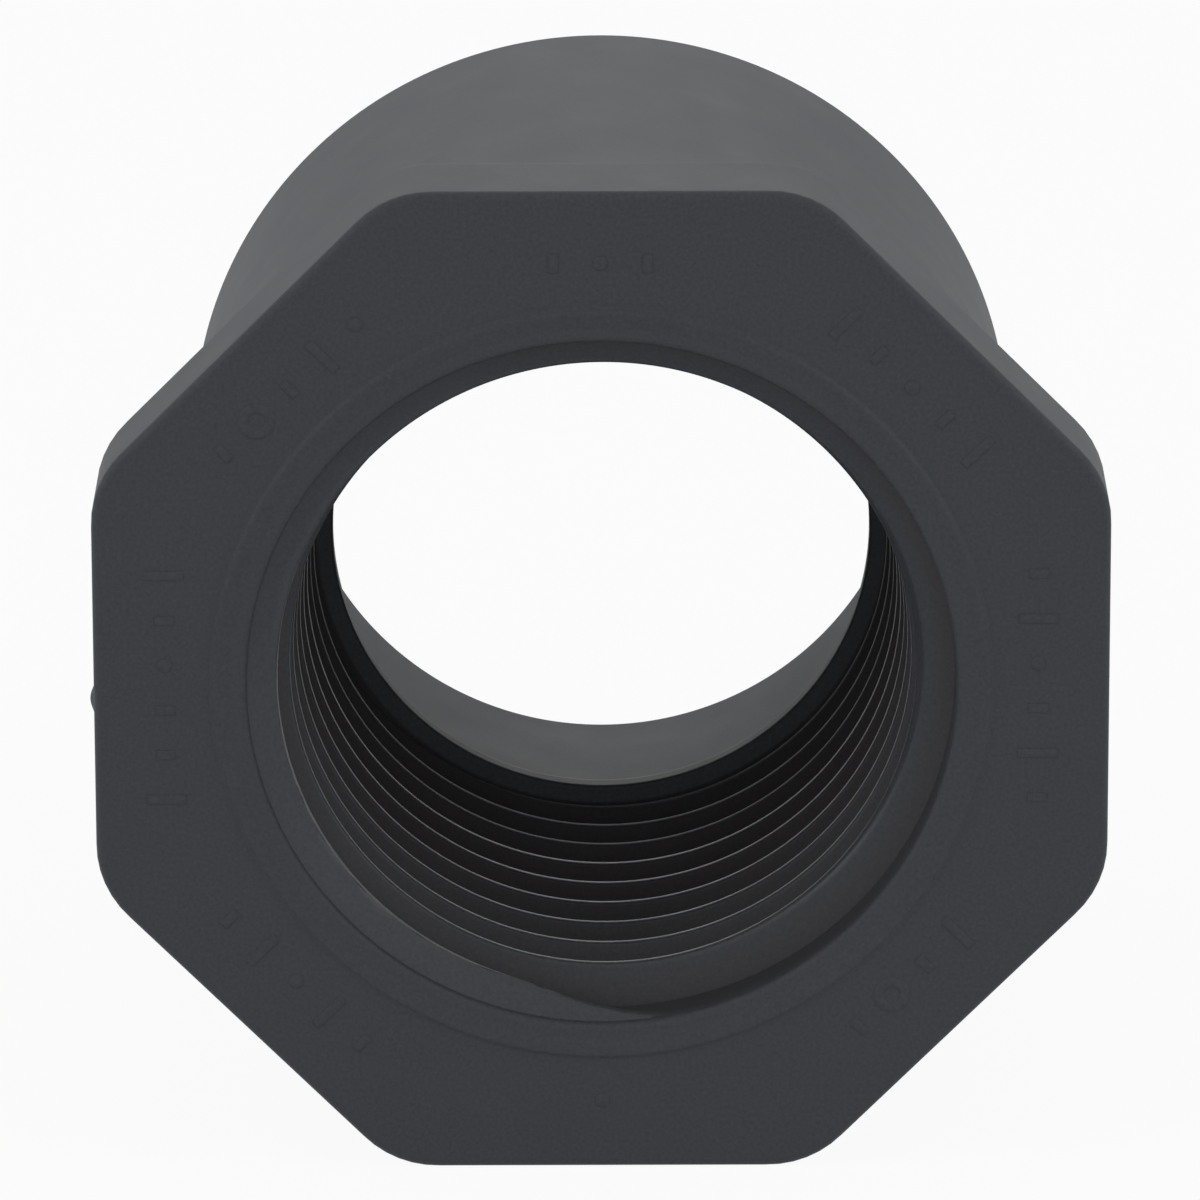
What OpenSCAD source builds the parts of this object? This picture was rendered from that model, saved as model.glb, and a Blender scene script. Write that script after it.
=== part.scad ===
// Flush reducing bushing for pipe: a plain spigot that is cemented into a
// socket, and inside it a tapered pipe thread that takes a smaller pipe.
// It is one moulded piece. The origin is the middle of the threaded mouth.
// The bore runs along +Y, the mouth looks to -Y, and +Z is up.
// Lengths are in millimetres.

/* [Spigot] */
// Outside diameter of the spigot, the size of the larger pipe
spigot_d = 26.67; // [25.8:0.01:28]
// Length from the mouth's face to the end of the spigot
length = 29.8; // [24:0.1:36]
// Chamfer round the spigot's free end
spigot_chamfer = 0.4; // [0.2:0.05:1]
// Fillet between the spigot and the back of the head
shoulder_fillet = 0.8; // [0.2:0.05:1.2]

/* [Head] */
// Distance between two opposite flats of the eight-sided head
head_af = 30.5; // [30:0.1:34]
// Thickness of the head
head_t = 4; // [2.4:0.1:5]
// Radius of the head's upright corners
corner_r = 3.1; // [1:0.1:5]
// Rounding of the edges round the head's face and back
edge_r = 0.25; // [0.15:0.05:0.6]
// Number of flats
flats = 8; // [8:4:12]

/* [Mouth] */
// Radius of the mouth, where the lead-in cone begins
mouth_r = 10.65; // [10:0.05:10.8]
// Rounding of the mouth's edge
mouth_edge = 0.25; // [0.1:0.05:0.4]
// Depth at which the lead-in cone meets the crests of the thread
lead_depth = 2.35; // [1.5:0.05:3.5]
// Radius of the fine moulded bead that runs round the mouth
bead_r = 11.6; // [11.4:0.05:12.2]
// Width of the bead at its foot
bead_w = 0.3; // [0.2:0.05:0.5]
// How far the bead stands above the face
bead_h = 0.1; // [0.05:0.05:0.2]

/* [Thread] */
// Radius of the thread's crests where the lead-in ends
crest_r = 9.4; // [9.1:0.05:9.6]
// Taper of the pipe thread, as change of radius over length
taper = 0.03125; // [0.02:0.00125:0.04]
// Depth at which the thread ends
thread_end = 17.2; // [12:0.1:19]

/* [Stop ring] */
// Inner radius of the ring behind the thread
stop_r = 8.5; // [8:0.05:8.6]
// Length of the slope from the crests down to the ring
stop_slope = 0.25; // [0.1:0.05:0.5]
// Length of the ring's inner wall
stop_l = 0.8; // [0.4:0.1:1.5]

/* [Bore] */
// Radius of the plain bore behind the thread
bore_r = 10.1; // [9.7:0.05:10.6]
// Length of the slope between the stop ring and the plain bore
relief_l = 1.6; // [0.8:0.1:2.5]
// Chamfer where the bore opens at the spigot's end
bore_chamfer = 0.25; // [0.1:0.05:0.5]

/* [Gate] */
// Height of the moulding gate's stub, in the middle of the left flat
gate_h = 0.2; // [0.1:0.05:0.4]
// Width of the gate's stub
gate_w = 1.3; // [0.8:0.1:2]
// Distance of the stub from the middle of its flat, down the flat
gate_drop = 0.9; // [0:0.1:4]

/* [Hidden] */
$fn = 96;
// Radius of the spigot
spigot_r = spigot_d / 2;
// Radius of the circle that goes through the centres of the head's corners
corner_ring_r = (head_af / 2 - corner_r) / cos(180 / flats);
// Crest radius where the thread ends
crest_end_r = crest_r - taper * (thread_end - lead_depth);
// Steps in each rounded edge
edge_steps = 4;
// Depth of the back end of the stop ring's inner wall
stop_end = thread_end + stop_slope + stop_l;
// Cut that runs past a face
past = 1;

// Turns a shape that was made along +Z so that it runs along +Y
module along_y() {
    rotate([-90, 0, 0]) children();
}

// Half outline of one corner post of the head, with both edges rounded
function post_outline(r, t, e, n) = concat(
    [[0, 0]],
    [for (i = [0 : n]) [r - e + e * sin(90 * i / n), e - e * cos(90 * i / n)]],
    [for (i = [0 : n]) [r - e + e * cos(90 * i / n), t - e + e * sin(90 * i / n)]],
    [[0, t]]
);

// The eight-sided head, its corners and edges rounded
module head() {
    hull() {
        for (i = [0 : flats - 1]) {
            rotate([0, 0, 360 * (i + 0.5) / flats])
                translate([corner_ring_r, 0, 0])
                    rotate_extrude($fn = 32)
                        polygon(post_outline(corner_r, head_t, edge_r, edge_steps));
        }
    }
}

// The spigot, with the fillet at the head and the chamfer at its free end
module spigot() {
    rotate_extrude() {
        difference() {
            polygon([
                [0, head_t / 2],
                [spigot_r + shoulder_fillet, head_t / 2],
                [spigot_r + shoulder_fillet, head_t + shoulder_fillet],
                [spigot_r, head_t + shoulder_fillet],
                [spigot_r, length - spigot_chamfer],
                [spigot_r - spigot_chamfer, length],
                [0, length]
            ]);
            translate([spigot_r + shoulder_fillet, head_t + shoulder_fillet])
                circle(r = shoulder_fillet);
        }
    }
}

// The passage: rounded edge, lead-in cone, tapered thread seat, stop ring, bore
module passage() {
    rotate_extrude() {
        difference() {
            polygon([
                [0, -past],
                [mouth_r + mouth_edge, -past],
                [mouth_r + mouth_edge, mouth_edge],
                [mouth_r, mouth_edge],
                [crest_r, lead_depth],
                [crest_end_r, thread_end],
                [stop_r, thread_end + stop_slope],
                [stop_r, stop_end],
                [bore_r, stop_end + relief_l],
                [bore_r, length - bore_chamfer],
                [bore_r + bore_chamfer + past, length + past],
                [0, length + past]
            ]);
            translate([mouth_r + mouth_edge, mouth_edge])
                circle(r = mouth_edge);
        }
    }
}

// The fine bead round the mouth, a low ridge with sloping sides
module bead() {
    rotate_extrude() {
        polygon([
            [bead_r - bead_w / 2, bead_h],
            [bead_r - bead_w / 2, 0],
            [bead_r - bead_w / 6, -bead_h],
            [bead_r + bead_w / 6, -bead_h],
            [bead_r + bead_w / 2, 0],
            [bead_r + bead_w / 2, bead_h]
        ]);
    }
}

// Stub of the moulding gate on the left flat
module gate() {
    translate([-head_af / 2, gate_drop, head_t / 2])
        rotate([0, 90, 0])
            cylinder(h = 2 * gate_h, d = gate_w, center = true);
}

// The whole bushing, one moulded piece
module bushing() {
    color([0.37, 0.38, 0.4])
        along_y() {
            difference() {
                union() {
                    head();
                    spigot();
                    bead();
                    gate();
                }
                passage();
            }
        }
}

bushing();
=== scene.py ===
"""Looks of the pipe reducing bushing: one moulded piece of grey rigid PVC.

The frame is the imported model's: the bore runs along +Y, the threaded mouth
looks to -Y, +Z is up, and the origin is the middle of the mouth. The sizes
here are in millimetres and are turned into metres where a mesh is made.
"""

import logging
import math
from dataclasses import dataclass, field
from enum import Enum
from typing import Any, Sequence

import bmesh
import bpy
from mathutils import Matrix, Vector

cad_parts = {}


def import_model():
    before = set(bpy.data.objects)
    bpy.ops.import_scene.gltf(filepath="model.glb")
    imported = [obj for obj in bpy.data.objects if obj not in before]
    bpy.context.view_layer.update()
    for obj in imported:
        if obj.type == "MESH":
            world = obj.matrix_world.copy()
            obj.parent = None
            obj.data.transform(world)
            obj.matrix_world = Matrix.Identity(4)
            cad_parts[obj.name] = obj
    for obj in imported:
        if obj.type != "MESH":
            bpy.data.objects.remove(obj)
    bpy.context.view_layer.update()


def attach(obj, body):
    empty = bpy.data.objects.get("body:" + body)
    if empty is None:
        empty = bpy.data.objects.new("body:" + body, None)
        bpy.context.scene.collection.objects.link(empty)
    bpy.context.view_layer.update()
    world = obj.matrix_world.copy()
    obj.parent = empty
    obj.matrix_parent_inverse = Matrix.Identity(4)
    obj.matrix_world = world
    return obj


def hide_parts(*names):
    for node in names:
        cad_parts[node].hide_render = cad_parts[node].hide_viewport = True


LOG = logging.getLogger("bushing")
MM = 0.001
TURN = 2 * math.pi
BODY = "root"
NODE = "bushing"
SAME_PLACE = 1e-3  # mm, for picking edges and merging points
SEAM = 5e-3  # mm, for joining the thread's skin to the turned skin
NOISE_MEAN = 0.5


# Shader maths


class Value:
    """A number output of a node, with Python operators that add Math nodes."""

    def __init__(self, sheet: "Sheet", socket: bpy.types.NodeSocket) -> None:
        """Wraps an output socket of one sheet."""
        self.sheet = sheet
        self.socket = socket

    def _math(self, operation: str, *values: Any) -> "Value":
        """Adds one Math node.

        Args:
            operation: The node's operation.
            values: Its inputs, sockets or numbers, in order.

        Returns:
            The node's result.
        """
        return self.sheet.value("ShaderNodeMath", {"operation": operation}, values)

    def __add__(self, other: Any) -> "Value":
        """Sum."""
        return self._math("ADD", self, other)

    def __radd__(self, other: Any) -> "Value":
        """Reflected sum."""
        return self._math("ADD", other, self)

    def __sub__(self, other: Any) -> "Value":
        """Difference."""
        return self._math("SUBTRACT", self, other)

    def __rsub__(self, other: Any) -> "Value":
        """Reflected difference."""
        return self._math("SUBTRACT", other, self)

    def __mul__(self, other: Any) -> "Value":
        """Product."""
        return self._math("MULTIPLY", self, other)

    def __rmul__(self, other: Any) -> "Value":
        """Reflected product."""
        return self._math("MULTIPLY", other, self)

    def __truediv__(self, other: Any) -> "Value":
        """Quotient."""
        return self._math("DIVIDE", self, other)

    def __pow__(self, other: Any) -> "Value":
        """Power."""
        return self._math("POWER", self, other)

    def over(self, edge: float) -> "Value":
        """One where the value is over an edge, else zero."""
        return self._math("GREATER_THAN", self, edge)

    def at_least(self, other: Any) -> "Value":
        """The larger of this and another value."""
        return self._math("MAXIMUM", self, other)

    def held(self) -> "Value":
        """The value, kept between 0 and 1."""
        return self._math("MINIMUM", self.at_least(0.0), 1.0)


class Sheet:
    """The node tree of a material or a world, and the one way to add nodes to it."""

    def __init__(self, owner: bpy.types.Material | bpy.types.World) -> None:
        """Empties the owner's tree.

        Args:
            owner: The material or world to write.
        """
        owner.use_nodes = True
        self.tree = owner.node_tree
        self.tree.nodes.clear()

    def node(
        self,
        kind: str,
        settings: dict[str, Any] | None = None,
        inputs: dict[str | int, Any] | Sequence[Any] = (),
    ) -> bpy.types.Node:
        """Adds a node, sets it up, and fills its sockets.

        Args:
            kind: The node's type.
            settings: Its properties, set first.
            inputs: Values or links, by socket name or number, or in order.

        Returns:
            The new node.
        """
        made = self.tree.nodes.new(kind)
        for name, setting in (settings or {}).items():
            setattr(made, name, setting)
        pairs = inputs.items() if isinstance(inputs, dict) else enumerate(inputs)
        for key, given in pairs:
            if isinstance(given, Value):
                given = given.socket
            if isinstance(given, bpy.types.NodeSocket):
                self.tree.links.new(given, made.inputs[key])
            else:
                made.inputs[key].default_value = given
        return made

    def value(
        self, kind: str, settings: dict[str, Any], inputs: Any, output: str | int = 0
    ) -> Value:
        """Adds a node and wraps one of its outputs as a number."""
        return Value(self, self.node(kind, settings, inputs).outputs[output])


# Finishes


@dataclass(frozen=True)
class Slope:
    """A wall radius that changes evenly with the depth. Both have the same unit."""

    radius: float
    depth: float
    fall: float

    def at(self, depth: Any) -> Any:
        """The radius at a depth, a number or shader maths."""
        return (self.depth - depth) * self.fall + self.radius

    def in_metres(self) -> "Slope":
        """The same slope, from millimetres."""
        return Slope(self.radius * MM, self.depth * MM, self.fall)


@dataclass(frozen=True)
class BoreShade:
    """Where the thread's grooves are, for the painted shade that darkens them.

    slopes give the wall along the thread's crests and its lead-in: the wall
    is the widest of them. groove is the depth of a groove. The painted shade
    runs from the depth start to the depth end, at its full strength from full on.
    Lengths are in metres.
    """

    slopes: tuple[Slope, ...]
    groove: float
    start: float
    full: float
    end: float

    def groove_depth(self, radius: Value, depth: Value) -> Value:
        """How far down a groove a place is.

        Args:
            radius: The place's distance from the axis.
            depth: Its depth behind the face.

        Returns:
            0 at the crests and 1 at the root.
        """
        wall = self.slopes[0].at(depth)
        for slope in self.slopes[1:]:
            wall = wall.at_least(slope.at(depth))
        return ((radius - wall) / self.groove).held()


@dataclass(frozen=True)
class MouldedPvc:
    """Grey rigid PVC as it comes out of the mould: satin, faintly mottled, fine specks.

    mottle, grain and specks are shares of the colour. The two shade strengths
    are those of the painted shade, dark and tinted brown, at a groove's root
    and deep in the bore. crest_edge says how fast the painted shade sets in
    below a crest, and polish_reach how far past the painted shade's full depth
    the crests are polished.
    """

    name: str = "grey_moulded_pvc"
    base: tuple[float, float, float] = (0.044, 0.0485, 0.0565)
    mottle: float = 0.2
    mottle_per_m: float = 420.0
    mottle_octaves: float = 4.0
    grain: float = 0.8
    grain_per_m: float = 8500.0
    grain_octaves: float = 2.0
    noise_roughness: float = 0.6
    specks: float = 0.05
    specks_per_m: float = 3825.0
    specks_over: float = 0.74
    roughness: float = 0.6
    rough_mottle: float = 0.12
    rough_grain: float = 0.1
    # Extra roughness where the grooves' shade is painted.
    rough_painted_shade: float = 0.2
    bump_strength: float = 0.55
    bump_mottle: float = 1.5
    grain_depth_mm: float = 0.006
    ior: float = 1.36
    specular: float = 0.5
    # Painted shade in the grooves: its strength at the root and deep in the bore, and its brown
    # tint.
    root_painted_shade: float = 0.45
    deep_painted_shade: float = 0.45
    painted_shade_tint: tuple[float, float, float] = (1.6, 0.95, 0.8)
    wall_margin: float = 1.03
    crest_edge: float = 14.0
    crest_polish: float = 0.16
    polish_reach: float = 1.35

    def build(self, bore: BoreShade) -> bpy.types.Material:
        """Makes the material.

        Args:
            bore: Where the thread's grooves are.

        Returns:
            A material on Object coordinates.
        """
        material = bpy.data.materials.new(self.name)
        sheet = Sheet(material)
        place = sheet.node("ShaderNodeTexCoord").outputs["Object"]
        cloud = self._noise(sheet, place, self.mottle_per_m, self.mottle_octaves)
        grain = self._noise(sheet, place, self.grain_per_m, self.grain_octaves)
        speck = self._noise(sheet, place, self.specks_per_m, 0.0).over(self.specks_over)
        cloud_off = cloud - NOISE_MEAN
        grain_off = grain - NOISE_MEAN
        shade = cloud_off * self.mottle + grain_off * self.grain + 1.0
        shade = shade + speck * self.specks
        # Painted shade: darkens the thread's grooves and tints them brown.
        painted_shade, crest = self._painted_shade(sheet, place, bore)
        painted_shade_colour = tuple(b * t for b, t in zip(self.base, self.painted_shade_tint))
        plain = sheet.node(
            "ShaderNodeMix",
            {"data_type": "RGBA"},
            {0: painted_shade, 6: (*self.base, 1.0), 7: (*painted_shade_colour, 1.0)},
        ).outputs[2]
        colour = sheet.node(
            "ShaderNodeMix",
            {"data_type": "RGBA", "blend_type": "MULTIPLY"},
            {0: 1.0, 6: plain, 7: self._grey(sheet, shade * (1.0 - painted_shade))},
        ).outputs[2]
        rough = cloud_off * self.rough_mottle + grain_off * self.rough_grain
        rough = rough + self.roughness + painted_shade * self.rough_painted_shade - crest * self.crest_polish
        bump = sheet.node(
            "ShaderNodeBump",
            None,
            {
                "Strength": self.bump_strength,
                "Distance": self.grain_depth_mm * MM,
                "Height": grain + cloud * self.bump_mottle,
            },
        )
        shader = sheet.node(
            "ShaderNodeBsdfPrincipled",
            None,
            {
                "Base Color": colour,
                "Roughness": rough,
                "IOR": self.ior,
                "Specular IOR Level": self.specular,
                "Normal": bump.outputs["Normal"],
            },
        )
        sheet.node("ShaderNodeOutputMaterial", None, {"Surface": shader.outputs[0]})
        return material

    def _painted_shade(
        self, sheet: Sheet, place: bpy.types.NodeSocket, bore: BoreShade
    ) -> tuple[Value, Value]:
        """Finds the painted shade in the thread's grooves, and its crests.

        Args:
            sheet: The sheet to write on.
            place: Coordinates.
            bore: Where the grooves are.

        Returns:
            The painted shade's strength and one on the crests.
        """
        split = sheet.node("ShaderNodeSeparateXYZ", None, {"Vector": place})
        x, depth, z = (Value(sheet, out) for out in split.outputs)
        radius = (x * x + z * z) ** 0.5
        inside = 1.0 - radius.over(bore.slopes[0].radius * self.wall_margin)
        inside = inside * depth.over(bore.start) * (1.0 - depth.over(bore.end))
        groove = bore.groove_depth(radius, depth)
        deep = ((depth - bore.start) / (bore.full - bore.start)).held()
        below = (groove * self.crest_edge).held()
        # Painted shade, growing towards a groove's root and deeper in the bore.
        painted_shade = groove * groove * self.root_painted_shade
        painted_shade = painted_shade + (1.0 - painted_shade) * below * deep * self.deep_painted_shade
        crest = (1.0 - below) * (1.0 - depth.over(bore.full * self.polish_reach))
        return painted_shade * inside, crest * inside

    @staticmethod
    def _grey(sheet: Sheet, shade: Value) -> bpy.types.NodeSocket:
        """Turns one number into a grey colour."""
        made = sheet.node(
            "ShaderNodeCombineColor", None, {"Red": shade, "Green": shade, "Blue": shade}
        )
        return made.outputs["Color"]

    def _noise(
        self, sheet: Sheet, place: bpy.types.NodeSocket, per_m: float, octaves: float
    ) -> Value:
        """Noise at a number of cells to the metre.

        Args:
            sheet: The sheet to write on.
            place: Coordinates.
            per_m: Cells to the metre.
            octaves: Octaves of detail.

        Returns:
            The noise, between 0 and 1.
        """
        return sheet.value(
            "ShaderNodeTexNoise",
            {"noise_dimensions": "3D"},
            {
                "Vector": place,
                "Scale": per_m,
                "Detail": octaves,
                "Roughness": self.noise_roughness,
            },
            "Fac",
        )


def seen_by(sheet: Sheet, rays: Any) -> Value:
    """One for the rays that show a background: camera, glossy and transmission.

    Args:
        sheet: The sheet to write on.
        rays: The outputs of its Light Path node.

    Returns:
        One for those rays, and zero for the rest.
    """
    either = {"operation": "MAXIMUM"}
    shown = sheet.value("ShaderNodeMath", either, (rays["Is Camera Ray"], rays["Is Glossy Ray"]))
    return sheet.value("ShaderNodeMath", either, (shown, rays["Is Transmission Ray"]))


@dataclass(frozen=True)
class StudioPaper:
    """Pale paper under the piece. The camera sees it near white, with the shadow."""

    name: str = "studio_paper"
    colour: tuple[float, float, float] = (0.9, 0.9, 0.9)
    glow: float = 0.93

    def build(self) -> bpy.types.Material:
        """Makes the material.

        Returns:
            Matt paper, mixed with white towards the rays that show a background.
        """
        material = bpy.data.materials.new(self.name)
        sheet = Sheet(material)
        paper = sheet.node(
            "ShaderNodeBsdfDiffuse", None, {"Color": (*self.colour, 1.0)}
        )
        white = sheet.node("ShaderNodeEmission", None, {"Strength": 1.0})
        rays = sheet.node("ShaderNodeLightPath").outputs
        seen = seen_by(sheet, rays) * self.glow
        mixed = sheet.node(
            "ShaderNodeMixShader", None, {0: seen, 1: paper.outputs[0], 2: white.outputs[0]}
        )
        sheet.node("ShaderNodeOutputMaterial", None, {"Surface": mixed.outputs[0]})
        return material


# Mesh tools


@dataclass(frozen=True)
class Corner:
    """One corner of a turned outline, in millimetres."""

    radius: float
    depth: float
    rounding: float = 0.0
    steps: int = 2

    def point(self) -> Vector:
        """Its place in the plane of the outline."""
        return Vector((self.radius, self.depth, 0.0))


class Lathe:
    """Turned and screwed surfaces about the bore's axis, +Y."""

    def __init__(self, segments: int, margin: float = 0.03) -> None:
        """Sets the steps in a full turn, and the room left beside a rounding."""
        self.segments = segments
        self.margin = margin

    def line(self, bm: bmesh.types.BMesh, points: Sequence[Vector]) -> list[Any]:
        """Draws an open line of points.

        Args:
            bm: The mesh to draw in.
            points: The line's points.

        Returns:
            Its vertices and edges.
        """
        verts = [bm.verts.new(p) for p in points]
        edges = [bm.edges.new(pair) for pair in zip(verts, verts[1:])]
        return [*verts, *edges]

    def held(self, corners: Sequence[Corner]) -> list[Vector]:
        """Adds a point on each side of every rounded corner.

        The faces beside a rounding then stay flat under smooth shading. A
        side that the rounding nearly fills gets no such point.

        Args:
            corners: The outline's corners, in order.

        Returns:
            The points of the line to spin.
        """
        points: list[Vector] = []
        for i, corner in enumerate(corners):
            here = corner.point()
            if corner.rounding <= 0:
                points.append(here)
                continue
            reach = corner.rounding + self.margin
            before = corners[i - 1].point() - here
            after = corners[i + 1].point() - here
            if reach < before.length / 2:
                points.append(here + before.normalized() * reach)
            points.append(here)
            if reach < after.length / 2:
                points.append(here + after.normalized() * reach)
        return points

    def spin(self, bm: bmesh.types.BMesh, points: Sequence[Vector]) -> None:
        """Spins a line of points through a full turn.

        Args:
            bm: The mesh to add to.
            points: The line, in the XY plane.
        """
        bmesh.ops.spin(
            bm,
            geom=self.line(bm, points),
            cent=(0, 0, 0),
            axis=(0, 1, 0),
            angle=TURN,
            steps=self.segments,
            use_merge=True,
        )

    def turn(self, bm: bmesh.types.BMesh, corners: Sequence[Corner]) -> None:
        """Spins an outline into a full turn and rounds its corners.

        Args:
            bm: The mesh to add to.
            corners: The outline's corners, in order.
        """
        self.spin(bm, self.held(corners))
        for corner in corners:
            if corner.rounding > 0:
                self.round_ring(bm, corner)

    def screw(
        self, bm: bmesh.types.BMesh, points: Sequence[Vector], pitch: float, turns: int
    ) -> None:
        """Spins an outline into a screw surface and joins its turns.

        Args:
            bm: The mesh to add to.
            points: One pitch of the outline, from crest to crest.
            pitch: Advance along +Y in a turn.
            turns: Number of turns.
        """
        bmesh.ops.spin(
            bm,
            geom=self.line(bm, points),
            cent=(0, 0, 0),
            axis=(0, 1, 0),
            dvec=(0, pitch / self.segments, 0),
            angle=TURN,
            steps=self.segments,
            use_merge=False,
        )
        first = [*bm.verts, *bm.edges, *bm.faces]
        for turn in range(1, turns):
            copy = bmesh.ops.duplicate(bm, geom=first)["geom"]
            verts = [v for v in copy if isinstance(v, bmesh.types.BMVert)]
            bmesh.ops.translate(bm, vec=(0, pitch * turn, 0), verts=verts)
        bmesh.ops.remove_doubles(bm, verts=bm.verts, dist=SAME_PLACE)

    def settle(self, v: bmesh.types.BMVert) -> None:
        """Turns a point to the nearest step of the spin, at its own radius.

        Args:
            v: The point.
        """
        radius = math.hypot(v.co.x, v.co.z)
        step = TURN / self.segments
        angle = round(math.atan2(v.co.z, v.co.x) / step) * step
        v.co.x, v.co.z = radius * math.cos(angle), radius * math.sin(angle)

    def round_ring(self, bm: bmesh.types.BMesh, corner: Corner) -> None:
        """Rounds the ring of edges at one corner."""
        bmesh.ops.bevel(
            bm,
            geom=ring_edges(bm, corner.radius, corner.depth),
            offset=corner.rounding,
            offset_type="OFFSET",
            segments=corner.steps,
            profile=0.5,
            affect="EDGES",
            material=-1,
        )


def ring_edges(bm: bmesh.types.BMesh, radius: float, depth: float) -> list[Any]:
    """Picks the edges that run round the axis at one radius and depth.

    Args:
        bm: The mesh.
        radius: Distance from the axis.
        depth: Distance along +Y.

    Returns:
        The edges.
    """

    def on(v: bmesh.types.BMVert) -> bool:
        """Whether a vertex is on the ring."""
        return (
            abs(v.co.y - depth) < SAME_PLACE
            and abs(math.hypot(v.co.x, v.co.z) - radius) < SAME_PLACE
        )

    return [e for e in bm.edges if on(e.verts[0]) and on(e.verts[1])]


def smooth_step(share: float) -> float:
    """Eases a share from 0 to 1, and holds it at both ends."""
    held = min(1.0, max(0.0, share))
    return held * held * (3 - 2 * held)


def smooth_max(one: float, other: float, blend: float) -> float:
    """The larger of two numbers, with the change between them rounded.

    Args:
        one: A number.
        other: Another number.
        blend: How far apart they may be and still blend.

    Returns:
        The larger one, or a little more where they are close.
    """
    near = max(blend - abs(one - other), 0.0)
    return max(one, other) + near * near / (4 * blend)


def absorb(bm: bmesh.types.BMesh, other: bmesh.types.BMesh) -> None:
    """Moves everything of another mesh into this one.

    Args:
        bm: The mesh that grows.
        other: The other mesh, which is freed.
    """
    carrier = bpy.data.meshes.new("carrier")
    other.to_mesh(carrier)
    other.free()
    bm.from_mesh(carrier)
    bpy.data.meshes.remove(carrier)


def finish_piece(
    bm: bmesh.types.BMesh,
    name: str,
    material: bpy.types.Material,
    sharp_deg: float = 32.0,
) -> bpy.types.Object:
    """Turns a mesh in millimetres into a piece that rides on the part.

    Args:
        bm: The mesh, which is freed.
        name: The piece's name.
        material: Its material.
        sharp_deg: Edges over this angle stay sharp.

    Returns:
        The new object, at the origin, unturned and unscaled.
    """
    bmesh.ops.recalc_face_normals(bm, faces=bm.faces)
    bmesh.ops.scale(bm, vec=(MM, MM, MM), verts=bm.verts)
    for face in bm.faces:
        face.smooth = True
    for edge in bm.edges:
        edge.smooth = edge.calc_face_angle(0.0) < math.radians(sharp_deg)
    open_count = sum(not e.is_manifold for e in bm.edges)
    mesh = bpy.data.meshes.new(name)
    bm.to_mesh(mesh)
    bm.free()
    mesh.materials.append(material)
    piece = bpy.data.objects.new(name, mesh)
    bpy.context.scene.collection.objects.link(piece)
    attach(piece, BODY)
    LOG.info("%s: %d faces, %d open edges", name, len(mesh.polygons), open_count)
    return piece


# The bushing


@dataclass(frozen=True)
class PipeThread:
    """Tapered internal pipe thread, 14 turns to the inch, right-handed.

    crest_depth is where the first whole crest crosses the lowest line of the
    bore. The ridge before it begins blunt, start_turn of a turn before that
    line, and reaches its full height within start_blend of a turn.
    crest_round and root_round place the points that round the crest and the
    root: run and rise of the middle one, then rise of the last, in edges.
    """

    pitch: float = 25.4 / 14
    height: float = 1.25
    taper: float = 1 / 32
    crest_half: float = 0.12
    root_half: float = 0.12
    edge: float = 0.05
    crest_round: tuple[float, float, float] = (0.2, 0.5, 1.6)
    root_round: tuple[float, float, float] = (0.3, 0.4, 2.0)
    crest_depth: float = 2.35
    start_turn: float = 0.056
    start_blend: float = 0.133
    flank_cuts: int = 8
    crowding: float = 1.5
    carrier_r: float = 1.0

    def outline(self) -> list[Vector]:
        """One pitch, from the middle of a crest to the middle of the next.

        Returns:
            Points whose radius is the height over the crests plus carrier_r.
        """
        half = self.pitch / 2
        foot = half - self.root_half
        crest = [self.edge * share for share in self.crest_round]
        root = [self.edge * share for share in self.root_round]
        low = (self.crest_half + self.edge, crest[2])
        high = (foot - self.edge, self.height - root[2])
        shares = [(i / self.flank_cuts) ** self.crowding for i in range(self.flank_cuts + 1)]
        rising = [
            (0.0, 0.0),
            (self.crest_half - self.edge, 0.0),
            (self.crest_half + crest[0], crest[1]),
            *[tuple(a + (b - a) * share for a, b in zip(low, high)) for share in shares],
            (foot + root[0], self.height - root[1]),
            (half, self.height),
        ]
        falling = [(self.pitch - s, h) for s, h in reversed(rising[:-1])]
        return [Vector((self.carrier_r + h, s, 0.0)) for s, h in [*rising, *falling]]

    def presence(self, depth: float, down_angle: float) -> float:
        """How much of a ridge there is at one place, from 0 to 1.

        Args:
            depth: Depth of the place.
            down_angle: Its angle from the lowest line, clockwise from the face.

        Returns:
            0 before the blunt start of the first ridge, and 1 past it.
        """
        turn = down_angle / TURN
        ridge = round((depth - self.crest_depth) / self.pitch - turn)
        return smooth_step((ridge + 1 + turn + self.start_turn) / self.start_blend)


@dataclass(frozen=True)
class Polygon:
    """A rounded regular polygon, one flat of which faces +Z."""

    across: float
    corner_r: float
    flats: int

    def radius(self, angle: float, inset: float) -> float:
        """How far the outline is from the axis in one direction.

        Args:
            angle: The direction, from the middle of a flat.
            inset: How far the outline is moved inwards.

        Returns:
            The distance from the axis.
        """
        half = math.pi / self.flats
        turned = (angle + half) % (2 * half) - half
        flat = self.across / 2 - inset
        round_r = max(self.corner_r - inset, 0.0)
        centre = (self.across / 2 - self.corner_r) / math.cos(half)
        if round_r > 0 and flat * math.tan(abs(turned)) > centre * math.sin(half):
            off = half - abs(turned)
            side = centre * math.sin(off)
            return centre * math.cos(off) + math.sqrt(round_r**2 - side**2)
        return flat / math.cos(turned)


class Mark(Enum):
    """A plain raised mark on the face."""

    BAR = "bar"
    TICK = "tick"
    DOT = "dot"
    RING = "ring"


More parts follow.
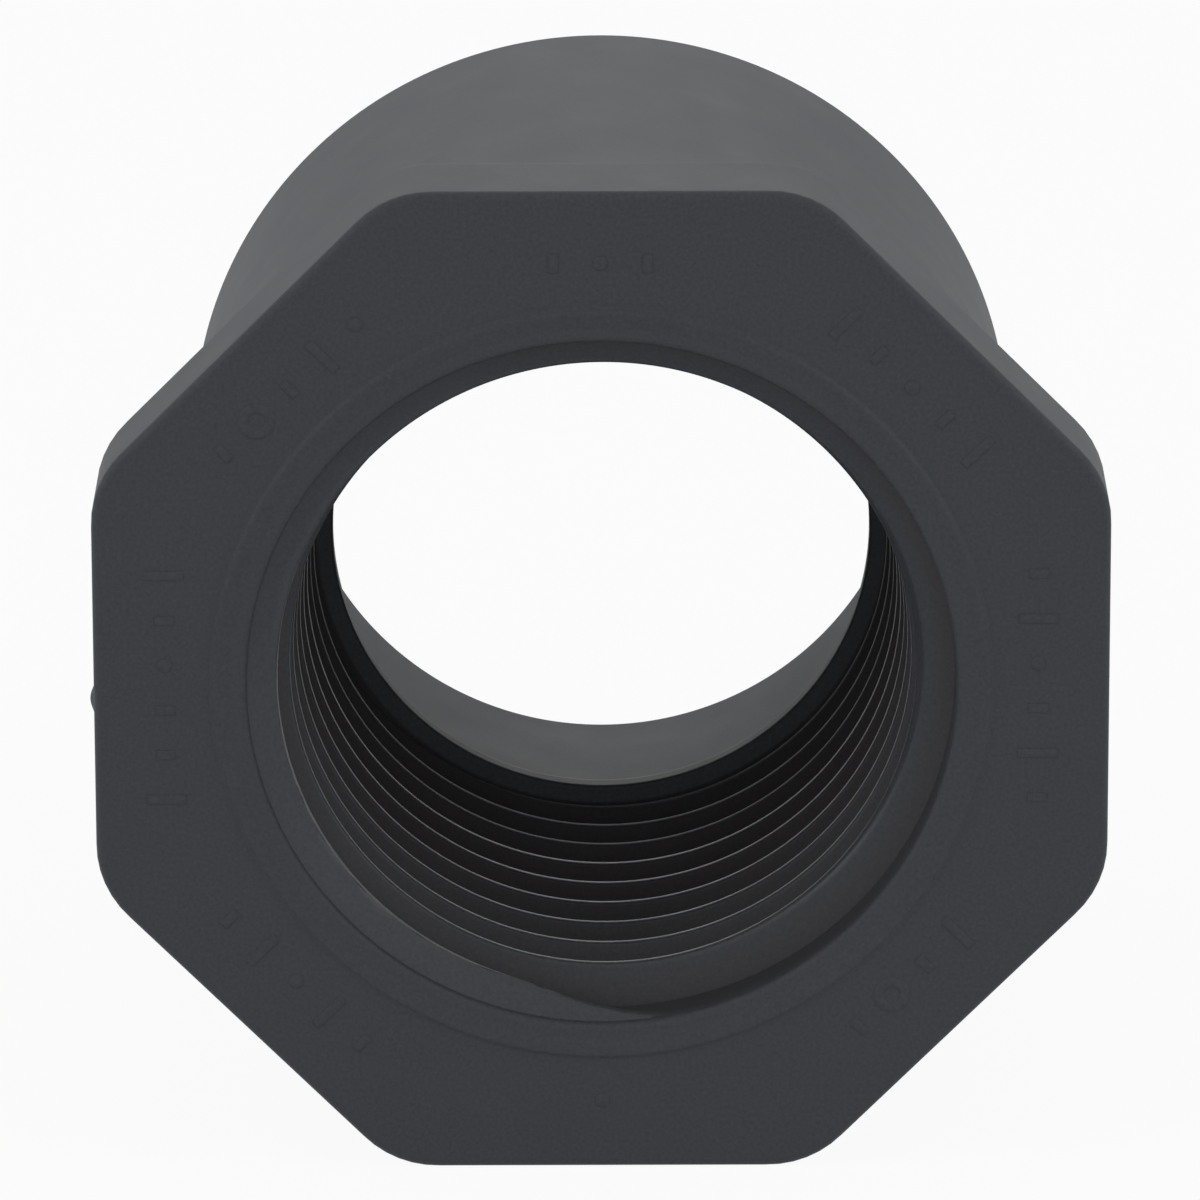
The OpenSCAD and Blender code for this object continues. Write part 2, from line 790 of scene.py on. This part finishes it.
@dataclass(frozen=True)
class FaceMarks:
    """Rows of plain raised marks on the face, low and with soft flanks.

    flatness says how much lower a mark is than its flanks are wide. The radius
    of a dot is a share of the stroke, and that of a ring a share of the size.
    """

    circle_r: float = 13.1
    gap: float = 1.4
    size: float = 1.2
    stroke: float = 0.3
    proud: float = 0.045
    sunk: float = 0.03
    bevel: float = 0.11
    flatness: float = 0.4
    dot_share: float = 0.75
    dot_steps: int = 32
    ring_share: float = 1 / 3
    ring_steps: int = 48
    arch_steps: int = 6
    rows: tuple[tuple[int, tuple[Mark, ...]], ...] = (
        (0, (Mark.TICK, Mark.DOT, Mark.TICK)),
        (1, (Mark.BAR, Mark.TICK, Mark.DOT, Mark.TICK, Mark.BAR)),
        (2, (Mark.TICK, Mark.BAR, Mark.DOT, Mark.TICK, Mark.BAR, Mark.TICK)),
        (3, (Mark.BAR, Mark.TICK, Mark.RING, Mark.TICK)),
        (4, (Mark.DOT,)),
        (5, (Mark.TICK, Mark.BAR, Mark.DOT, Mark.BAR, Mark.TICK)),
        (6, (Mark.BAR, Mark.TICK, Mark.TICK, Mark.DOT, Mark.TICK, Mark.BAR)),
        (7, (Mark.TICK, Mark.RING, Mark.TICK, Mark.BAR, Mark.DOT)),
    )

    def build(self, flats: int, material: bpy.types.Material) -> bpy.types.Object:
        """Makes every mark, as one piece.

        Args:
            flats: How many flats the head has.
            material: The finish of the body.

        Returns:
            The piece.
        """
        bm = bmesh.new()
        for flat, marks in self.rows:
            for i, mark in enumerate(marks):
                one = self.shape(mark)
                along = (i - (len(marks) - 1) / 2) * self.gap
                bmesh.ops.translate(one, vec=(along, 0, self.circle_r), verts=one.verts)
                turn = Matrix.Rotation(TURN * flat / flats, 3, "Y")
                bmesh.ops.rotate(one, cent=(0, 0, 0), matrix=turn, verts=one.verts)
                absorb(bm, one)
        return finish_piece(bm, "face_marks", material)

    def shape(self, mark: Mark) -> bmesh.types.BMesh:
        """Makes one mark at the middle, standing out towards -Y.

        Args:
            mark: Which mark.

        Returns:
            Its mesh.
        """
        bm = bmesh.new()
        thick = (self.proud + self.sunk) / self.flatness
        if mark is Mark.RING:
            self.ring(bm)
            return bm
        if mark is Mark.DOT:
            radius = self.stroke * self.dot_share
            bmesh.ops.create_cone(
                bm,
                cap_ends=True,
                segments=self.dot_steps,
                radius1=radius,
                radius2=radius,
                depth=thick,
            )
            upright = Matrix.Rotation(math.pi / 2, 3, "X")
            bmesh.ops.rotate(bm, cent=(0, 0, 0), matrix=upright, verts=bm.verts)
        else:
            length = self.size if mark is Mark.BAR else self.size / 2
            bmesh.ops.create_cube(bm, size=1.0)
            bmesh.ops.scale(bm, vec=(self.stroke, thick, length), verts=bm.verts)
        bmesh.ops.bevel(
            bm,
            geom=[e for e in bm.edges if max(v.co.y for v in e.verts) < 0],
            offset=self.bevel,
            offset_type="OFFSET",
            segments=3,
            profile=0.5,
            affect="EDGES",
            material=-1,
        )
        bmesh.ops.scale(bm, vec=(1, self.flatness, 1), verts=bm.verts)
        middle = (self.sunk - self.proud) / 2
        bmesh.ops.translate(bm, vec=(0, middle, 0), verts=bm.verts)
        return bm

    def ring(self, bm: bmesh.types.BMesh) -> None:
        """Adds a ring with a rounded top to a mesh.

        Args:
            bm: The mesh.
        """
        radius = self.size * self.ring_share
        half = self.stroke / 2
        angles = [math.pi * i / self.arch_steps for i in range(self.arch_steps + 1)]
        arch = [
            Vector((radius - half * math.cos(a), -self.proud * math.sin(a), 0.0))
            for a in angles
        ]
        foot = [
            Vector((radius + half, self.sunk, 0.0)),
            Vector((radius - half, self.sunk, 0.0)),
        ]
        Lathe(self.ring_steps).spin(bm, [*arch, *foot, arch[0]])
        bmesh.ops.remove_doubles(bm, verts=bm.verts, dist=SAME_PLACE)


@dataclass
class Bushing:
    """The whole moulded piece. Lengths are in millimetres.

    lead_r is the radius to which the lead-in trims the first turn, from
    lead_depth to lead_end. lead_rings are depths behind the mouth's edge at
    which the skin gets rings of points. rim_band is how far in from its rim
    the head is moulded to its flats. The shade depth is where the painted
    shade in the grooves is at its full strength.
    """

    spigot_r: float = 13.335
    length: float = 29.8
    spigot_chamfer: float = 0.4
    shoulder_fillet: float = 0.8
    head_af: float = 30.5
    head_t: float = 4.0
    corner_r: float = 3.1
    edge_r: float = 0.25
    mouth_r: float = 10.65
    mouth_edge: float = 0.25
    lead_r: float = 9.72
    lead_depth: float = 0.75
    lead_end: float = 1.5
    lead_blend: float = 0.1
    bead_r: float = 11.6
    bead_w: float = 0.3
    bead_h: float = 0.095
    lip_w: float = 0.36
    lead_rings: tuple[float, ...] = (0.04, 0.1, 0.2, 0.34)
    crest_r: float = 9.45
    thread_end: float = 17.2
    undercut_r: float = 9.9
    undercut_l: float = 0.3
    stop_r: float = 8.5
    stop_slope: float = 0.25
    stop_l: float = 0.8
    bore_r: float = 10.1
    relief_l: float = 1.6
    bore_chamfer: float = 0.25
    gate_d: float = 1.5
    gate_h: float = 0.2
    gate_drop: float = 0.9
    gate_segments: int = 48
    gate_rings: int = 12
    rim_band: float = 0.5
    painted_shade_depth: float = 9.0
    spare_turns: int = 2
    segments: int = 240
    flats: int = 8
    thread: PipeThread = field(default_factory=PipeThread)
    marks: FaceMarks = field(default_factory=FaceMarks)
    finish: MouldedPvc = field(default_factory=MouldedPvc)

    def build(self) -> list[bpy.types.Object]:
        """Makes every piece of the bushing.

        Returns:
            The pieces.
        """
        material = self.finish.build(self.bore_shade())
        body = self.body(material)
        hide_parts(NODE)
        return [body, self.gate(material), self.marks.build(self.flats, material)]

    def crest_at(self, depth: float) -> float:
        """Radius of the thread's crests at a depth."""
        return self.crest_r - self.thread.taper * (depth - self.thread.crest_depth)

    def chamfer(self) -> Slope:
        """The mouth's chamfer."""
        fall = (self.mouth_r - self.lead_r) / (self.lead_depth - self.mouth_edge)
        return Slope(self.mouth_r, self.mouth_edge, fall)

    def lead_at(self, depth: float) -> float:
        """Radius to which the lead-in trims the first turn at a depth.

        Past the first whole crest it lies under the crests and trims nothing.

        Args:
            depth: Depth behind the face.

        Returns:
            The radius of the chamfer, or of the trimmed crests behind it.
        """
        eased = smooth_step((depth - self.lead_end) / (self.thread.crest_depth - self.lead_end))
        above = self.lead_r - self.crest_r
        trim = self.crest_at(depth) + above - (above + self.lead_blend) * eased
        return max(self.chamfer().at(depth), trim)

    def bore_shade(self) -> BoreShade:
        """Finds where the thread's grooves are.

        Returns:
            Their place for the finish's painted shade, in metres.
        """
        fall = (self.lead_r - self.crest_r) / (self.thread.crest_depth - self.lead_end)
        trim = Slope(self.lead_r, self.lead_end, fall)
        crests = Slope(self.crest_r, self.thread.crest_depth, self.thread.taper)
        return BoreShade(
            slopes=tuple(one.in_metres() for one in (self.chamfer(), trim, crests)),
            groove=self.thread.height * MM,
            start=self.mouth_edge * MM,
            # Depth at which the painted shade in the grooves is full.
            full=self.painted_shade_depth * MM,
            end=(self.thread_end + self.stop_slope) * MM,
        )

    def outline(self) -> list[Corner]:
        """Draws the turned outline.

        Returns:
            Its corners, from the mouth round to the thread's end.
        """
        head_r = self.head_af / 2
        stop_front = self.thread_end + self.stop_slope
        stop_end = stop_front + self.stop_l
        chamfer_start = self.length - self.spigot_chamfer
        end_r = self.spigot_r - self.spigot_chamfer
        opening_r = self.bore_r + self.bore_chamfer
        return [
            Corner(self.mouth_r, self.mouth_edge),
            Corner(self.mouth_r, 0.0, rounding=self.mouth_edge * 0.9, steps=5),
            *self.bead(),
            Corner(head_r, 0.0, rounding=self.edge_r, steps=4),
            Corner(head_r, self.head_t, rounding=self.edge_r, steps=4),
            Corner(self.spigot_r, self.head_t, rounding=self.shoulder_fillet, steps=6),
            Corner(self.spigot_r, chamfer_start, rounding=0.2, steps=3),
            Corner(end_r, self.length, rounding=0.15, steps=3),
            Corner(opening_r, self.length, rounding=0.06),
            Corner(self.bore_r, self.length - self.bore_chamfer, rounding=0.1),
            Corner(self.bore_r, stop_end + self.relief_l, rounding=0.4, steps=3),
            Corner(self.stop_r, stop_end, rounding=0.2, steps=3),
            Corner(self.stop_r, stop_front, rounding=0.1, steps=3),
            Corner(self.undercut_r, self.thread_end),
        ]

    def bead(self) -> list[Corner]:
        """Draws the fine moulded bead, with the lip that slopes to the mouth.

        Returns:
            The corners of their outline, outwards.
        """
        half = self.bead_w / 2
        crown = half / 3
        return [
            Corner(self.bead_r - half - self.lip_w, 0.0, rounding=0.05, steps=3),
            Corner(self.bead_r - crown, -self.bead_h, rounding=0.03),
            Corner(self.bead_r + crown, -self.bead_h, rounding=0.03),
            Corner(self.bead_r + half, 0.0, rounding=0.04),
        ]

    def body(self, material: bpy.types.Material) -> bpy.types.Object:
        """Makes the head, the spigot and the threaded passage as one closed skin.

        Args:
            material: The finish.

        Returns:
            The piece.
        """
        lathe = Lathe(self.segments)
        bm = bmesh.new()
        lathe.turn(bm, self.outline())
        self.flatten_head(bm)
        absorb(bm, self.thread_skin(lathe))
        bmesh.ops.remove_doubles(bm, verts=bm.verts, dist=SEAM)
        return finish_piece(bm, "bushing_body", material)

    def flatten_head(self, bm: bmesh.types.BMesh) -> None:
        """Moves the round head's rim onto the flats and the rounded corners.

        Args:
            bm: The turned mesh.
        """
        polygon = Polygon(self.head_af, self.corner_r, self.flats)
        rim = self.head_af / 2
        for v in bm.verts:
            radius = math.hypot(v.co.x, v.co.z)
            inset = rim - radius
            if inset > self.rim_band or v.co.y > self.head_t + SAME_PLACE:
                continue
            angle = math.atan2(v.co.x, v.co.z)
            scale = polygon.radius(angle, inset) / radius
            v.co.x *= scale
            v.co.z *= scale

    def thread_skin(self, lathe: Lathe) -> bmesh.types.BMesh:
        """Makes the thread's surface between its lead-in and its end.

        Args:
            lathe: Spins the outline.

        Returns:
            A mesh with an open loop at each end.
        """
        bm = bmesh.new()
        thread = self.thread
        turns = math.ceil(self.thread_end / thread.pitch) + 2 * self.spare_turns
        lathe.screw(bm, thread.outline(), thread.pitch, turns)
        # The outline starts at +X, a quarter turn before the lowest line.
        shift = (thread.crest_depth - thread.pitch / 4) % thread.pitch
        shift -= self.spare_turns * thread.pitch
        bmesh.ops.translate(bm, vec=(0, shift, 0), verts=bm.verts)
        self.cut(bm, self.mouth_edge, drop_before=True)
        self.cut(bm, self.thread_end, drop_after=True)
        for behind in self.lead_rings:
            self.cut(bm, self.mouth_edge + behind)
        self.cut(bm, self.lead_depth)
        self.cut(bm, self.thread_end - self.undercut_l)
        for v in bm.verts:
            self.shape_thread(v)
            if v.is_boundary:
                lathe.settle(v)
        bmesh.ops.remove_doubles(bm, verts=bm.verts, dist=SEAM)
        bmesh.ops.dissolve_degenerate(bm, edges=bm.edges, dist=SAME_PLACE)
        return bm

    @staticmethod
    def cut(
        bm: bmesh.types.BMesh, depth: float, drop_before: bool = False, drop_after: bool = False
    ) -> None:
        """Cuts a mesh across the bore, so that it has points at one depth.

        Args:
            bm: The mesh.
            depth: Where to cut.
            drop_before: Whether to delete what lies nearer to the mouth.
            drop_after: Whether to delete what lies deeper.
        """
        bmesh.ops.bisect_plane(
            bm,
            geom=[*bm.verts, *bm.edges, *bm.faces],
            dist=SAME_PLACE / 10,
            plane_co=(0, depth, 0),
            plane_no=(0, 1, 0),
            clear_inner=drop_before,
            clear_outer=drop_after,
        )

    def shape_thread(self, v: bmesh.types.BMVert) -> None:
        """Gives one point of the screw surface its place.

        The outline gives the height over the crests. The taper, the blunt
        start, the mouth with its chamfer, and the undercut behind the last
        turn set the rest. The ends come together on the two end rings.

        Args:
            v: The point, with its height for its radius.
        """
        thread = self.thread
        height = math.hypot(v.co.x, v.co.z) - thread.carrier_r
        depth = v.co.y
        there = thread.presence(depth, math.atan2(-v.co.x, -v.co.z))
        height = thread.height + (height - thread.height) * there
        radius = min(self.crest_at(depth) + height, self.mouth_r)
        radius = min(smooth_max(radius, self.lead_at(depth), self.lead_blend), self.mouth_r)
        past = (depth - self.thread_end + self.undercut_l) / self.undercut_l
        radius += (self.undercut_r - radius) * smooth_step(past)
        direction = Vector((v.co.x, 0.0, v.co.z)).normalized()
        v.co = direction * radius + Vector((0.0, depth, 0.0))

    def gate(self, material: bpy.types.Material) -> bpy.types.Object:
        """Makes the trimmed stub of the moulding gate, a soft bump on the left flat.

        Args:
            material: The finish.

        Returns:
            The piece.
        """
        bm = bmesh.new()
        rim = self.gate_d / 2
        low = -self.gate_h
        shares = [i / self.gate_rings for i in range(self.gate_rings + 1)]
        wave = [
            Vector((k * rim, self.gate_h * (1 + math.cos(math.pi * k)) / 2, 0.0))
            for k in shares
        ]
        foot = [Vector((rim, low, 0.0)), Vector((0.0, low, 0.0))]
        Lathe(self.gate_segments).spin(bm, [*wave, *foot])
        bmesh.ops.remove_doubles(bm, verts=bm.verts, dist=SAME_PLACE)
        sideways = Matrix.Rotation(math.pi / 2, 3, "Z")
        bmesh.ops.rotate(bm, cent=(0, 0, 0), matrix=sideways, verts=bm.verts)
        place = (-self.head_af / 2, self.head_t / 2, -self.gate_drop)
        bmesh.ops.translate(bm, vec=place, verts=bm.verts)
        return finish_piece(bm, "gate_stub", material)


# The studio


@dataclass(frozen=True)
class Lamp:
    """One soft area light, aimed at the piece."""

    name: str
    place: tuple[float, float, float]
    size: float
    watts: float
    target: tuple[float, float, float] = (0.0, 0.012, 0.0)

    def build(self) -> None:
        """Makes the light."""
        data = bpy.data.lights.new(self.name, "AREA")
        data.shape = "DISK"
        data.size = self.size
        data.energy = self.watts
        lamp = bpy.data.objects.new(self.name, data)
        lamp.location = self.place
        aim = Vector(self.target) - Vector(self.place)
        lamp.rotation_mode = "QUATERNION"
        lamp.rotation_quaternion = aim.to_track_quat("-Z", "Y")
        bpy.context.scene.collection.objects.link(lamp)


@dataclass
class Studio:
    """Floor, lights and world. The floor's height is in millimetres."""

    floor_z: float = -15.25
    floor_half_m: float = 3.0
    paper: StudioPaper = field(default_factory=StudioPaper)
    world_strength: float = 0.47
    lamps: tuple[Lamp, ...] = (
        Lamp("left_softbox", (-0.4, -0.16, 0.2), 0.2, 0.4),
        Lamp("right_softbox", (0.4, -0.16, 0.2), 0.2, 0.4),
        Lamp("back_softbox", (0.0, 0.5, 0.12), 0.25, 0.15),
    )

    def build(self) -> None:
        """Makes the whole studio."""
        self.floor()
        self.world()
        for lamp in self.lamps:
            lamp.build()

    def floor(self) -> None:
        """Lays the paper that the bushing rests on."""
        bm = bmesh.new()
        bmesh.ops.create_grid(bm, x_segments=1, y_segments=1, size=self.floor_half_m)
        bmesh.ops.translate(bm, vec=(0, 0, self.floor_z * MM), verts=bm.verts)
        mesh = bpy.data.meshes.new("floor")
        bm.to_mesh(mesh)
        bm.free()
        mesh.materials.append(self.paper.build())
        floor = bpy.data.objects.new("floor", mesh)
        bpy.context.scene.collection.objects.link(floor)

    def world(self) -> None:
        """Makes soft light all round, white to the rays that show a background."""
        world = bpy.data.worlds.new("studio")
        bpy.context.scene.world = world
        sheet = Sheet(world)
        rays = sheet.node("ShaderNodeLightPath").outputs
        strength = seen_by(sheet, rays) * (1.0 - self.world_strength) + self.world_strength
        back = sheet.node(
            "ShaderNodeBackground", None, {"Color": (1, 1, 1, 1), "Strength": strength}
        )
        sheet.node("ShaderNodeOutputWorld", None, {"Surface": back.outputs[0]})


@dataclass(frozen=True)
class PhotoCamera:
    """The camera of the photograph, found from the bushing's outline.

    The place of the mouth's middle is given in the camera's own frame, in
    millimetres: to the right, down and ahead.
    """

    focal_px: float = 9999.0
    frame_px: float = 1200.0
    sensor_mm: float = 36.0
    right: float = 0.047
    down: float = 2.61
    ahead: float = 300.0
    pitch_deg: float = 16.13
    roll_deg: float = -0.15
    clip_m: tuple[float, float] = (0.01, 20.0)

    def build(self) -> None:
        """Makes the camera and sets it as the scene's."""
        data = bpy.data.cameras.new("photo_camera")
        data.sensor_width = self.sensor_mm
        data.lens = self.focal_px * self.sensor_mm / self.frame_px
        data.clip_start, data.clip_end = self.clip_m
        camera = bpy.data.objects.new("photo_camera", data)
        pitch = math.radians(self.pitch_deg)
        turn = Matrix.Rotation(math.pi / 2 - pitch, 3, "X")
        turn = turn @ Matrix.Rotation(math.radians(self.roll_deg), 3, "Z")
        camera.matrix_world = turn.to_4x4()
        camera.location = turn @ Vector((-self.right, self.down, self.ahead)) * MM
        bpy.context.scene.collection.objects.link(camera)
        bpy.context.scene.camera = camera


def main() -> None:
    """Loads the frame, builds the pieces and the studio, and notes the sizes."""
    logging.basicConfig(level=logging.INFO, format="%(name)s: %(message)s")
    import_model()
    for piece in Bushing().build():
        LOG.info("made %s", piece.name)
    Studio().build()
    PhotoCamera().build()
    scene = bpy.context.scene
    scene.view_settings.view_transform = "Standard"


if __name__ == "__main__":
    main()
